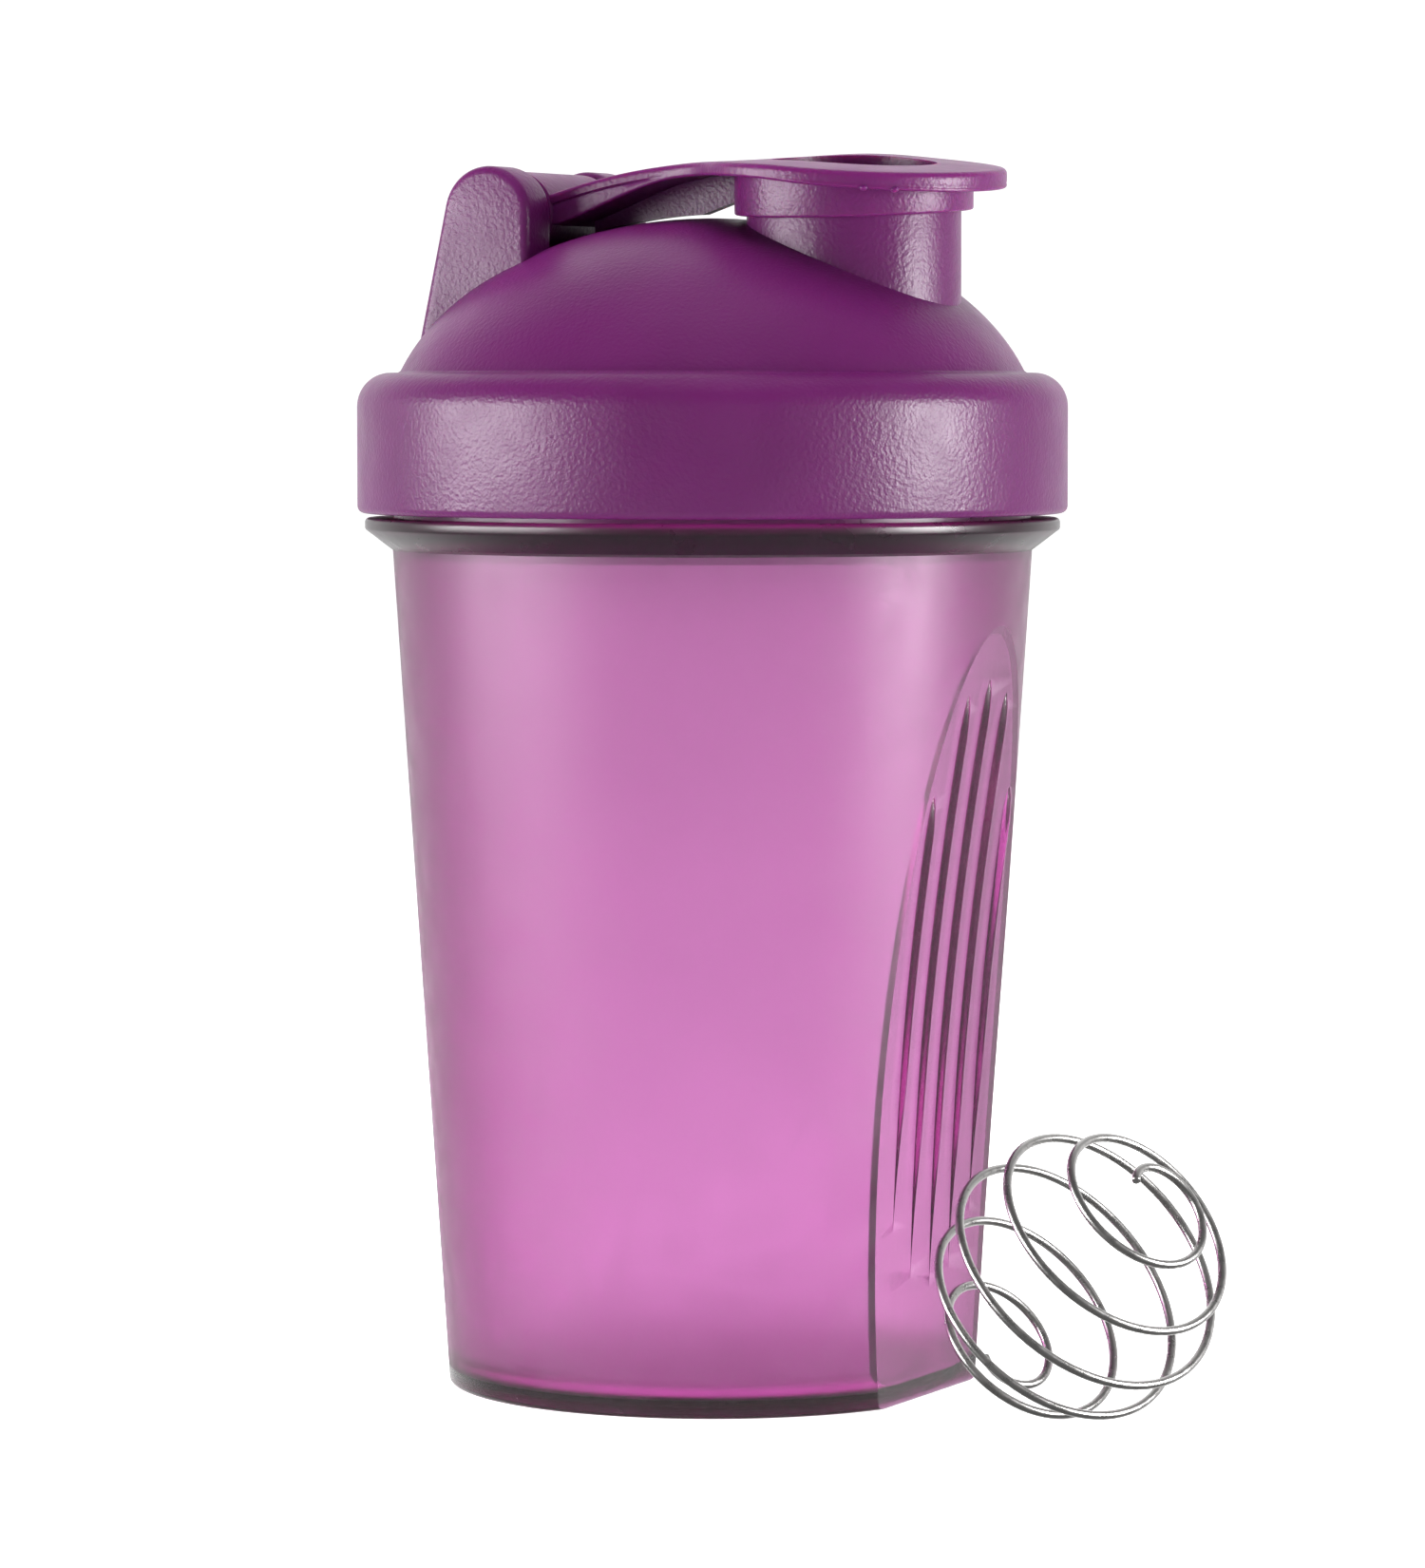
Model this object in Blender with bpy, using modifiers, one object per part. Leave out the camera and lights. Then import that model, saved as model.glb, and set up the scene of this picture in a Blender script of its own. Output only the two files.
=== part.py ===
"""Protein shaker bottle: a tapered cup with two grip panels, a screw lid with a
domed top, a flip cap that plugs the lid's spout, the lid's seal ring and the
loose wire whisk ball that lies beside the cup.

Units are metres. The origin is at the middle of the cup's base, +Z is up and
+X points from the cap's hinge to the spout.
"""

import math

import bmesh
import bpy
from mathutils import Matrix, Vector

MM = 0.001
AXIS_STEPS = 72
CUT_OVER = 1.0 * MM  # how far a cutting shape reaches past the surface it cuts
SMALL_EASE = 0.3 * MM
RIM_EASE = 0.4 * MM

# Cup: a straight cone, flattened on both sides by a grip panel.
CUP_BASE_R = 35.4 * MM
CUP_TAPER = 0.066
CUP_WALL = 1.6 * MM
FLOOR_T = 2.5 * MM
FLOOR_FILLET = 3.0 * MM
BASE_CHAMFER = 0.7 * MM
GROOVE_R = (26.0 * MM, 28.0 * MM)
GROOVE_DEPTH = 0.8 * MM
FLANGE_R = 46.5 * MM
FLANGE_FOOT = 111.9 * MM
FLANGE_LOW = 114.7 * MM
FLANGE_TOP = 116.2 * MM
NECK_R = 42.6 * MM
NECK_TOP = 131.5 * MM
NECK_BORE = NECK_R - CUP_WALL

# Grip panel: cut by a wide cylinder whose axis lies along Y at the base.
PANEL_FOOT_X = 31.8 * MM
PANEL_CURVE_R = 503.0 * MM
PANEL_TOP = 106.0 * MM
PANEL_STEPS = 16
PANEL_CUT_X = 60.0 * MM
PANEL_CUT_HALF_Y = 30.0 * MM
RIB_WIDTH = 1.3 * MM
RIB_HEIGHT = 0.7 * MM
RIB_PITCH = 6.15 * MM
RIB_SINK = 0.4 * MM
RIB_RUN_OUT = 18.0 * MM
RIB_TOP_ROUND = 2.5 * MM
RIB_STEPS = 12
RIB_SPANS = ((11.4 * MM, 95.4 * MM), (13.2 * MM, 93.4 * MM), (19.9 * MM, 80.5 * MM))

# Screw thread: one right-handed ridge on the neck, another inside the collar.
THREAD_LEAD = 6.0 * MM
THREAD_TURNS = 1.25
THREAD_CREST = 0.9 * MM
THREAD_ROOT = 2.2 * MM
NECK_RIDGE_R = 44.0 * MM
COLLAR_RIDGE_R = 43.2 * MM
NECK_RIDGE_Z = 119.5 * MM
RIDGE_SINK = 0.5 * MM

# Lid: collar, dome, spout and the two hinge ears.
COLLAR_R = 47.5 * MM
COLLAR_BORE = 45.3 * MM
COLLAR_FOOT = 116.8 * MM
COLLAR_TOP = 135.5 * MM
COLLAR_ROUND = 4.5 * MM
COLLAR_FOOT_ROUND = 1.0 * MM
COLLAR_LEDGE = 0.6 * MM
DOME_R = 44.0 * MM
DOME_RISE = 29.9 * MM
DOME_TOP = 156.05 * MM
DOME_FOOT_R = 41.5 * MM
DOME_WALL = 1.8 * MM
SEAT_Z = 133.6 * MM
LIP_R = (39.0 * MM, 40.4 * MM)
LIP_FOOT = 130.0 * MM
SPOUT_X = 20.8 * MM
SPOUT_R = 14.2 * MM
SPOUT_BORE = 12.5 * MM
SPOUT_TOP = 158.7 * MM
SPOUT_STEPS = 48
HINGE_X = -24.9 * MM
HINGE_Z = 156.5 * MM
EAR_Y = (10.7 * MM, 18.0 * MM)
EAR_R = 6.4 * MM
EAR_BACK_FOOT = (-36.4 * MM, 134.0 * MM)
EAR_ROUND = 1.2 * MM
SOCKET_R = 2.75 * MM
SOCKET_END_Y = 14.6 * MM

# Flip cap: knuckle, arched strap, round plate, skirt and plug.
KNUCKLE_R = 4.7 * MM
KNUCKLE_HALF = 9.6 * MM
TRUNNION_R = 2.5 * MM
TRUNNION_END_Y = 14.2 * MM
STRAP_HALF = 9.6 * MM
STRAP_FLARE_R = 15.0 * MM
DISC_R = 20.2 * MM
ARCH_TOP_X = 11.0 * MM
ARCH_TOP_Z = 163.9 * MM
ARCH_CURVE = 4.9
DISC_CURVE = 5.7
DISC_FLAT_X = 20.0 * MM
CROWN = 0.5 * MM
CROWN_X = (10.0 * MM, 24.0 * MM)
STRAP_ROOT_X = -18.0 * MM
STRAP_ROOT_T = 4.3 * MM
STRAP_T = 1.8 * MM
DISC_T = 2.1 * MM
DISC_T_X = (12.0 * MM, 24.0 * MM)
PLATE_BOX = (-21.0 * MM, 44.0 * MM, 23.0 * MM)
SKIRT_R = 15.8 * MM
SKIRT_BORE = 14.6 * MM
SKIRT_FOOT = 156.6 * MM
PLUG_R = 12.1 * MM
PLUG_FOOT = 154.0 * MM
PLUG_FLOOR = 156.0 * MM
PLUG_BORE = 11.0 * MM
PLUG_CHAMFER = 0.6 * MM
GROOVE_TOP = 159.1 * MM
WEB_HALF = 1.2 * MM
WEB_GAP = 0.5 * MM
WEB_X = (-17.0 * MM, -1.0 * MM, 6.0 * MM)
WEB_RISE = 0.34
WEB_STEPS = 6
BELOW_CAP = 140.0 * MM
ABOVE_CAP = 185.0 * MM

# Seal ring between the lid's seat and the cup's rim.
SEAL_R = (40.8 * MM, 44.8 * MM)
SEAL_Z = (131.8 * MM, 133.3 * MM)

# Whisk ball: one wire wound as a spiral on a sphere.
BALL_R = 18.96 * MM
WIRE_R = 0.54 * MM
BALL_X = 58.5 * MM
BALL_Y = -11.5 * MM
BALL_AXIS = (0.723, -0.270, 0.636)
BALL_TURNS = 5.85
BALL_POLES = (math.radians(11.8), math.radians(10.2))
BALL_START = math.radians(129.0)
POINTS_A_TURN = 22

PURPLE = (0.16, 0.035, 0.15)
PINK = (0.52, 0.12, 0.42)
SEAL_WHITE = (0.72, 0.70, 0.68)
STEEL = (0.62, 0.62, 0.63)


def clear_scene():
    for obj in list(bpy.data.objects):
        bpy.data.objects.remove(obj, do_unlink=True)


def new_collection(name):
    collection = bpy.data.collections.new(name)
    bpy.context.scene.collection.children.link(collection)
    return collection


def make_material(name, colour, roughness, metallic=0.0):
    material = bpy.data.materials.new(name)
    material.use_nodes = True
    shader = material.node_tree.nodes["Principled BSDF"]
    shader.inputs["Base Color"].default_value = (*colour, 1.0)
    shader.inputs["Roughness"].default_value = roughness
    shader.inputs["Metallic"].default_value = metallic
    material.diffuse_color = (*colour, 1.0)
    return material


def add_object(name, bm, collection):
    """Turns a bmesh into an object in the collection."""
    mesh = bpy.data.meshes.new(name)
    bm.to_mesh(mesh)
    bm.free()
    obj = bpy.data.objects.new(name, mesh)
    collection.objects.link(obj)
    return obj


def hide_cutter(obj):
    obj.hide_render = True
    obj.display_type = "WIRE"
    return obj


def arc(centre_x, centre_z, radius, start, end, count):
    """Points along an arc in the XZ plane, angles in degrees."""
    points = []
    for i in range(count + 1):
        angle = math.radians(start + (end - start) * i / count)
        points.append((centre_x + radius * math.cos(angle), centre_z + radius * math.sin(angle)))
    return points


def turned(name, profile, collection, steps=AXIS_STEPS, closed=False, axis_x=0.0, start=0.0):
    """A profile of (radius, z) points turned about the vertical line at X = axis_x.

    start turns the first facet, in degrees, so that edges of two crossing
    shapes don't fall on one another.
    """
    bm = bmesh.new()
    verts = [bm.verts.new((radius, 0.0, z)) for radius, z in profile]
    for first, second in zip(verts, verts[1:]):
        bm.edges.new((first, second))
    if closed:
        bm.edges.new((verts[-1], verts[0]))
    obj = add_object(name, bm, collection)
    obj.location.x = axis_x
    obj.rotation_euler.z = math.radians(start)
    screw = obj.modifiers.new("turn", "SCREW")
    screw.axis = "Z"
    screw.steps = steps
    screw.render_steps = steps
    screw.use_merge_vertices = True
    screw.merge_threshold = 1e-6
    return obj


def prism(name, outline, low, high, collection, along="Y"):
    """A flat outline pushed out from low to high along Y (outline in XZ) or Z (in XY)."""
    bm = bmesh.new()
    if along == "Y":
        verts = [bm.verts.new((x, low, z)) for x, z in outline]
        push = Vector((0.0, high - low, 0.0))
    else:
        verts = [bm.verts.new((x, y, low)) for x, y in outline]
        push = Vector((0.0, 0.0, high - low))
    face = bm.faces.new(verts)
    moved = bmesh.ops.extrude_face_region(bm, geom=[face], use_keep_orig=True)
    top = [item for item in moved["geom"] if isinstance(item, bmesh.types.BMVert)]
    bmesh.ops.translate(bm, verts=top, vec=push)
    bmesh.ops.recalc_face_normals(bm, faces=bm.faces)
    return add_object(name, bm, collection)


def loft(name, rings, collection):
    """A closed solid through rings of points that all have the same count."""
    bm = bmesh.new()
    rows = [[bm.verts.new(point) for point in ring] for ring in rings]
    count = len(rings[0])
    for near, far in zip(rows, rows[1:]):
        for i in range(count):
            j = (i + 1) % count
            bm.faces.new((near[i], near[j], far[j], far[i]))
    bm.faces.new(rows[0])
    bm.faces.new(rows[-1])
    bmesh.ops.recalc_face_normals(bm, faces=bm.faces)
    return add_object(name, bm, collection)


def cylinder_y(name, radius, low, high, x, z, collection, segments=32):
    """A cylinder along Y."""
    bm = bmesh.new()
    turn = Matrix.Rotation(math.radians(90.0), 4, "X")
    place = Matrix.Translation((x, (low + high) / 2, z)) @ turn
    bmesh.ops.create_cone(
        bm, cap_ends=True, segments=segments, radius1=radius, radius2=radius,
        depth=high - low, matrix=place,
    )
    return add_object(name, bm, collection)


def boolean(obj, other, operation):
    modifier = obj.modifiers.new(operation.lower(), "BOOLEAN")
    modifier.operation = operation
    modifier.object = other
    hide_cutter(other)


def thread_ridge(name, root_r, crest_r, start_z, collection):
    """A helical ridge whose two ends run out to nothing."""
    steps = int(THREAD_TURNS * AXIS_STEPS)
    lead_in = AXIS_STEPS // 12
    rings = []
    for i in range(steps + 1):
        angle = 2 * math.pi * i / AXIS_STEPS
        z = start_z + THREAD_LEAD * i / AXIS_STEPS
        grow = min(1.0, i / lead_in, (steps - i) / lead_in)
        sunk = root_r - math.copysign(RIDGE_SINK, crest_r - root_r)
        hidden = (root_r + sunk) / 2
        crest = hidden + (crest_r - hidden) * grow
        section = (
            (sunk, z - THREAD_ROOT / 2),
            (crest, z - THREAD_CREST / 2),
            (crest, z + THREAD_CREST / 2),
            (sunk, z + THREAD_ROOT / 2),
        )
        rings.append([(r * math.cos(angle), r * math.sin(angle), h) for r, h in section])
    return loft(name, rings, collection)


# ---------------------------------------------------------------- cup


def cone_radius(z):
    return CUP_BASE_R + CUP_TAPER * z


def panel_x(z):
    """Distance of the grip panel's surface from the axis at height z."""
    return PANEL_FOOT_X + PANEL_CURVE_R - math.sqrt(PANEL_CURVE_R**2 - z**2)


def panel_cutter(name, side, inset, collection):
    """Everything outside the grip panel, moved in by inset."""
    low = -2 * CUT_OVER
    heights = [low + (PANEL_TOP - low) * i / PANEL_STEPS for i in range(PANEL_STEPS + 1)]
    outline = [(side * (panel_x(z) - inset), z) for z in heights]
    outline += [(side * PANEL_CUT_X, PANEL_TOP), (side * PANEL_CUT_X, low)]
    return prism(name, outline, -PANEL_CUT_HALF_Y, PANEL_CUT_HALF_Y, collection)


def rib_height(z, low, high):
    """Height of a rib: a long run-out at its foot and a short round top."""
    rise = min(1.0, (z - low) / RIB_RUN_OUT)
    fall = min(1.0, math.sqrt(max(0.0, high - z) / RIB_TOP_ROUND))
    return RIB_HEIGHT * min(rise, fall)


def panel_rib(name, side, y, low, high, collection):
    """One vertical grip rib, half sunk in the panel's wall."""
    heights = [low + (high - low) * i / RIB_STEPS for i in range(RIB_STEPS + 1)]
    heights.insert(RIB_STEPS, high - RIB_TOP_ROUND / 2)
    outline = [(side * (panel_x(z) - RIB_SINK), z) for z in heights]
    outline += [(side * (panel_x(z) + rib_height(z, low, high)), z) for z in heights[::-1]]
    return prism(name, outline, y - RIB_WIDTH / 2, y + RIB_WIDTH / 2, collection)


def make_cup(parts, cutters):
    outer = [
        (0.0, NECK_TOP),
        (NECK_R - RIM_EASE, NECK_TOP),
        (NECK_R, NECK_TOP - RIM_EASE),
        (NECK_R, FLANGE_TOP),
        (FLANGE_R - SMALL_EASE, FLANGE_TOP),
        (FLANGE_R, FLANGE_TOP - SMALL_EASE),
        (FLANGE_R, FLANGE_LOW),
        (cone_radius(FLANGE_FOOT), FLANGE_FOOT),
        (cone_radius(BASE_CHAMFER), BASE_CHAMFER),
        (cone_radius(0.0) - BASE_CHAMFER, 0.0),
        (GROOVE_R[1], 0.0),
        (GROOVE_R[1] - SMALL_EASE, GROOVE_DEPTH),
        (GROOVE_R[0] + SMALL_EASE, GROOVE_DEPTH),
        (GROOVE_R[0], 0.0),
        (0.0, 0.0),
    ]
    cup = turned("cup", outer, parts)

    wall_z = FLOOR_T + FLOOR_FILLET
    corner_r = cone_radius(wall_z) - CUP_WALL
    over = NECK_TOP + CUT_OVER
    inner = [(0.0, over), (NECK_BORE, over), (NECK_BORE, FLANGE_FOOT - 1 * MM)]
    inner += arc(corner_r - FLOOR_FILLET, wall_z, FLOOR_FILLET, 0, -90, 4)
    inner += [(0.0, FLOOR_T)]
    cavity = turned("cup_cavity", inner, cutters)

    for tag, side in (("front", 1), ("back", -1)):
        boolean(cup, panel_cutter(f"panel_{tag}", side, 0.0, cutters), "DIFFERENCE")
        boolean(cavity, panel_cutter(f"panel_{tag}_inner", side, CUP_WALL, cutters), "DIFFERENCE")
        for row in range(-2, 3):
            low, high = RIB_SPANS[abs(row)]
            rib = panel_rib(f"rib_{tag}_{row + 2}", side, row * RIB_PITCH, low, high, cutters)
            boolean(cup, rib, "UNION")
    ridge = thread_ridge("neck_ridge", NECK_R, NECK_RIDGE_R, NECK_RIDGE_Z, cutters)
    boolean(cup, ridge, "UNION")
    boolean(cup, cavity, "DIFFERENCE")
    return cup


# ---------------------------------------------------------------- lid


def dome_z(radius, inset=0.0):
    """Height of the dome's surface, or of its inside with an inset."""
    ratio = radius / (DOME_R - inset)
    return DOME_TOP - inset - (DOME_RISE - inset) * (1 - math.sqrt(1 - ratio**2))


def dome_points(outer_r, inset, count):
    """The dome's profile from its top down to outer_r, evenly spaced in angle."""
    end = math.asin(outer_r / (DOME_R - inset))
    radii = [(DOME_R - inset) * math.sin(end * i / count) for i in range(count + 1)]
    return [(radius, dome_z(radius, inset)) for radius in radii]


def hinge_ear(name, side, collection):
    """One ear: an arch that leans back down to the collar."""
    lean_x = HINGE_X - EAR_R - EAR_BACK_FOOT[0]
    lean_z = HINGE_Z - EAR_BACK_FOOT[1]
    lean = math.degrees(math.atan2(lean_x, lean_z))
    outline = [(HINGE_X + EAR_R, EAR_BACK_FOOT[1])]
    outline += arc(HINGE_X, HINGE_Z, EAR_R, 0, 180 - lean, 12)
    outline += [EAR_BACK_FOOT]
    low, high = sorted((side * EAR_Y[0], side * EAR_Y[1]))
    ear = prism(name, outline, low, high, collection)
    bevel = ear.modifiers.new("round", "BEVEL")
    bevel.width = EAR_ROUND
    bevel.segments = 2
    bevel.limit_method = "ANGLE"
    bevel.angle_limit = math.radians(60.0)
    return ear


def make_lid(parts, cutters):
    profile = dome_points(DOME_FOOT_R, 0.0, 9)
    profile += [(COLLAR_R - COLLAR_ROUND - COLLAR_LEDGE, COLLAR_TOP)]
    profile += arc(COLLAR_R - COLLAR_ROUND, COLLAR_TOP - COLLAR_ROUND, COLLAR_ROUND, 90, 0, 4)
    profile += arc(COLLAR_R - COLLAR_FOOT_ROUND, COLLAR_FOOT + COLLAR_FOOT_ROUND,
                   COLLAR_FOOT_ROUND, 0, -90, 2)
    profile += [
        (COLLAR_BORE, COLLAR_FOOT),
        (COLLAR_BORE, SEAT_Z),
        (LIP_R[1], SEAT_Z),
        (LIP_R[1], LIP_FOOT),
        (LIP_R[0], LIP_FOOT),
    ]
    profile += dome_points(LIP_R[0], DOME_WALL, 6)[::-1]
    lid = turned("lid", profile, parts)

    # Ears and spout end halfway through the dome's wall.
    core_r = (LIP_R[0] + LIP_R[1]) / 2
    core_profile = dome_points(core_r, DOME_WALL / 2, 8)
    core_profile += [(core_r, LIP_FOOT + CUT_OVER), (0.0, LIP_FOOT + CUT_OVER)]
    core = turned("lid_core", core_profile, cutters)
    for tag, side in (("near", -1), ("far", 1)):
        ear = hinge_ear(f"ear_{tag}", side, cutters)
        boolean(ear, core, "DIFFERENCE")
        boolean(lid, ear, "UNION")
    spout_foot = dome_z(SPOUT_X + SPOUT_R, DOME_WALL) - CUT_OVER
    spout_profile = [
        (0.0, SPOUT_TOP),
        (SPOUT_R - RIM_EASE, SPOUT_TOP),
        (SPOUT_R, SPOUT_TOP - RIM_EASE),
        (SPOUT_R, spout_foot),
        (0.0, spout_foot),
    ]
    spout = turned("spout", spout_profile, cutters, SPOUT_STEPS, axis_x=SPOUT_X, start=2.0)
    boolean(spout, core, "DIFFERENCE")
    boolean(lid, spout, "UNION")

    bore_foot = LIP_FOOT + 2 * CUT_OVER
    bore_profile = [
        (0.0, SPOUT_TOP + CUT_OVER),
        (SPOUT_BORE, SPOUT_TOP + CUT_OVER),
        (SPOUT_BORE, bore_foot),
        (0.0, bore_foot),
    ]
    bore = turned("spout_bore", bore_profile, cutters, SPOUT_STEPS, axis_x=SPOUT_X, start=3.0)
    boolean(lid, bore, "DIFFERENCE")
    sockets = cylinder_y("ear_sockets", SOCKET_R, -SOCKET_END_Y, SOCKET_END_Y, HINGE_X, HINGE_Z, cutters, 24)
    boolean(lid, sockets, "DIFFERENCE")
    ridge_z = NECK_RIDGE_Z + THREAD_LEAD / 2
    boolean(lid, thread_ridge("collar_ridge", COLLAR_BORE, COLLAR_RIDGE_R, ridge_z, cutters), "UNION")
    return lid


# ---------------------------------------------------------------- flip cap


def smooth_step(value):
    value = min(1.0, max(0.0, value))
    return value * value * (3 - 2 * value)


def arch_z(x):
    """Height of the cap's top edge: it arches over and runs on straight to the tip."""
    if x < ARCH_TOP_X:
        return ARCH_TOP_Z - ARCH_CURVE * (x - ARCH_TOP_X) ** 2
    bend = min(x, DISC_FLAT_X) - ARCH_TOP_X
    return ARCH_TOP_Z - DISC_CURVE * bend**2 - 2 * DISC_CURVE * bend * (x - ARCH_TOP_X - bend)


def plate_top(x, y):
    start, end = CROWN_X
    crown = CROWN * smooth_step((x - start) / (end - start))
    return arch_z(x) + crown * (1 - (y / DISC_R) ** 2)


def plate_bottom(x):
    """Underside: thick at the knuckle, thin over the arch and firm in the disc."""
    root = 1 - smooth_step((x - STRAP_ROOT_X) / -STRAP_ROOT_X)
    start, end = DISC_T_X
    disc = smooth_step((x - start) / (end - start))
    return arch_z(x) - STRAP_T - root * (STRAP_ROOT_T - STRAP_T) - disc * (DISC_T - STRAP_T)


def plate_block(name, low_x, high_x, half_y, top, bottom, collection):
    """A closed block whose top and bottom follow the two height functions."""
    columns = 26
    rows = 8
    bm = bmesh.new()
    bmesh.ops.create_grid(bm, x_segments=columns, y_segments=rows, size=1.0)
    for vert in bm.verts:
        x = low_x + (high_x - low_x) * (vert.co.x + 1) / 2
        vert.co = Vector((x, vert.co.y * half_y, 0.0))
    moved = bmesh.ops.extrude_face_region(bm, geom=list(bm.faces), use_keep_orig=True)
    upper = {item for item in moved["geom"] if isinstance(item, bmesh.types.BMVert)}
    for vert in bm.verts:
        height = top if vert in upper else bottom
        vert.co.z = height(vert.co.x, vert.co.y)
    bmesh.ops.recalc_face_normals(bm, faces=bm.faces)
    return add_object(name, bm, collection)


def cap_outline():
    """Plan of strap and disc: straight sides that flare into the circle."""
    reach = DISC_R + STRAP_FLARE_R
    flare_y = STRAP_HALF + STRAP_FLARE_R
    flare_x = SPOUT_X - math.sqrt(reach**2 - flare_y**2)
    joint = math.degrees(math.asin(flare_y / reach))
    half = [(HINGE_X, STRAP_HALF)]
    half += arc(flare_x, flare_y, STRAP_FLARE_R, -90, -joint, 5)
    half += arc(SPOUT_X, 0.0, DISC_R, 180 - joint, 0, 20)[1:]
    return half + [(x, -y) for x, y in half[-2::-1]]


def cap_web(name, collection):
    """The thin web under the strap, cut to clear the dome."""
    start, knee, end = WEB_X
    low = []
    for i in range(WEB_STEPS + 1):
        x = start + (knee - start) * i / WEB_STEPS
        low.append((x, dome_z(abs(x)) + WEB_GAP))
    low.append((end, low[-1][1] + WEB_RISE * (end - knee)))
    across = [end + (start - end) * i / WEB_STEPS for i in range(WEB_STEPS + 1)]
    high = [(x, arch_z(x) - STRAP_T / 2) for x in across]
    return prism(name, low + high, -WEB_HALF, WEB_HALF, collection)


def make_flip_cap(parts, cutters):
    cap = plate_block("flip_cap", *PLATE_BOX, plate_top, lambda x, y: plate_bottom(x), parts)
    outline = prism("cap_plan", cap_outline(), BELOW_CAP, ABOVE_CAP, cutters, along="Z")
    boolean(cap, outline, "INTERSECT")
    knuckle = cylinder_y("cap_knuckle", KNUCKLE_R, -KNUCKLE_HALF, KNUCKLE_HALF, HINGE_X, HINGE_Z, cutters)
    boolean(cap, knuckle, "UNION")
    pins = cylinder_y("cap_trunnions", TRUNNION_R, -TRUNNION_END_Y, TRUNNION_END_Y, HINGE_X, HINGE_Z,
                      cutters, 24)
    boolean(cap, pins, "UNION")
    boolean(cap, cap_web("cap_web", cutters), "UNION")

    above = ABOVE_CAP - CUT_OVER
    profile = [
        (0.0, above),
        (SKIRT_R, above),
        (SKIRT_R, SKIRT_FOOT),
        (SKIRT_BORE, SKIRT_FOOT),
        (SKIRT_BORE, GROOVE_TOP),
        (PLUG_R, GROOVE_TOP),
        (PLUG_R, PLUG_FOOT + PLUG_CHAMFER),
        (PLUG_R - PLUG_CHAMFER, PLUG_FOOT),
        (0.0, PLUG_FOOT),
    ]
    plug = turned("cap_plug", profile, cutters, SPOUT_STEPS, axis_x=SPOUT_X)
    low_x, high_x, half_y = PLATE_BOX
    trim = plate_block("cap_plug_trim", low_x - CUT_OVER, high_x + CUT_OVER, half_y + CUT_OVER,
                       lambda x, y: ABOVE_CAP, lambda x, y: arch_z(x) - STRAP_T / 2, cutters)
    boolean(plug, trim, "DIFFERENCE")
    boolean(cap, plug, "UNION")
    recess_profile = [(0.0, above), (PLUG_BORE, above), (PLUG_BORE, PLUG_FLOOR), (0.0, PLUG_FLOOR)]
    boolean(cap, turned("cap_recess", recess_profile, cutters, SPOUT_STEPS, axis_x=SPOUT_X), "DIFFERENCE")
    return cap


def set_origin(obj, point):
    """Moves an object's origin without moving its mesh; its location is zero before."""
    obj.data.transform(Matrix.Translation(-point))
    obj.location = point


# ---------------------------------------------------------------- loose pieces


def make_seal(parts):
    low, high = SEAL_Z
    inner, outer = SEAL_R
    profile = [
        (inner + SMALL_EASE, high),
        (outer - SMALL_EASE, high),
        (outer, high - SMALL_EASE),
        (outer, low + SMALL_EASE),
        (outer - SMALL_EASE, low),
        (inner + SMALL_EASE, low),
        (inner, low + SMALL_EASE),
        (inner, high - SMALL_EASE),
    ]
    return turned("seal_ring", profile, parts, closed=True)


def ball_points():
    """The wire's centre line: a left-handed spiral on a sphere, from pole to pole."""
    axis = Vector(BALL_AXIS).normalized()
    side = Vector((0.0, 0.0, 1.0)).cross(axis).normalized()
    rise = axis.cross(side)
    radius = BALL_R - WIRE_R
    count = int(BALL_TURNS * POINTS_A_TURN)
    first, last = BALL_POLES
    points = []
    for i in range(count + 1):
        share = i / count
        polar = first + (math.pi - first - last) * share
        angle = BALL_START - 2 * math.pi * BALL_TURNS * share
        ring = side * math.cos(angle) + rise * math.sin(angle)
        points.append((ring * math.sin(polar) + axis * math.cos(polar)) * radius)
    lift = WIRE_R - min(point.z for point in points)
    return [point + Vector((BALL_X, BALL_Y, lift)) for point in points]


def make_whisk_ball(parts):
    curve = bpy.data.curves.new("whisk_ball", "CURVE")
    curve.dimensions = "3D"
    curve.bevel_depth = WIRE_R
    curve.bevel_resolution = 2
    curve.use_fill_caps = True
    points = ball_points()
    spline = curve.splines.new("POLY")
    spline.points.add(len(points) - 1)
    for place, point in zip(spline.points, points):
        place.co = (*point, 1.0)
    ball = bpy.data.objects.new("whisk_ball", curve)
    parts.objects.link(ball)
    return ball


def main():
    clear_scene()
    parts = new_collection("shaker_bottle")
    cutters = new_collection("cutters")
    purple = make_material("lid_purple", PURPLE, 0.38)
    pink = make_material("cup_pink", PINK, 0.45)
    white = make_material("seal_white", SEAL_WHITE, 0.6)
    steel = make_material("steel_wire", STEEL, 0.25, 1.0)

    finishes = (
        (make_cup(parts, cutters), pink),
        (make_lid(parts, cutters), purple),
        (make_flip_cap(parts, cutters), purple),
        (make_seal(parts), white),
        (make_whisk_ball(parts), steel),
    )
    for obj, material in finishes:
        obj.data.materials.append(material)
    set_origin(bpy.data.objects["flip_cap"], Vector((HINGE_X, 0.0, HINGE_Z)))


main()
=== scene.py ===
"""Looks of a protein shaker bottle: frosted cup with clear grip panels, satin lid and
flip cap, silicone seal ring and a steel whisk ball.

Every piece is a finer version of its CAD node, in the same frame and in metres: the
origin is at the middle of the cup's base, +Z is up, +X points from hinge to spout.
"""

import math

import bmesh
import bpy
from mathutils import Matrix, Vector

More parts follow.
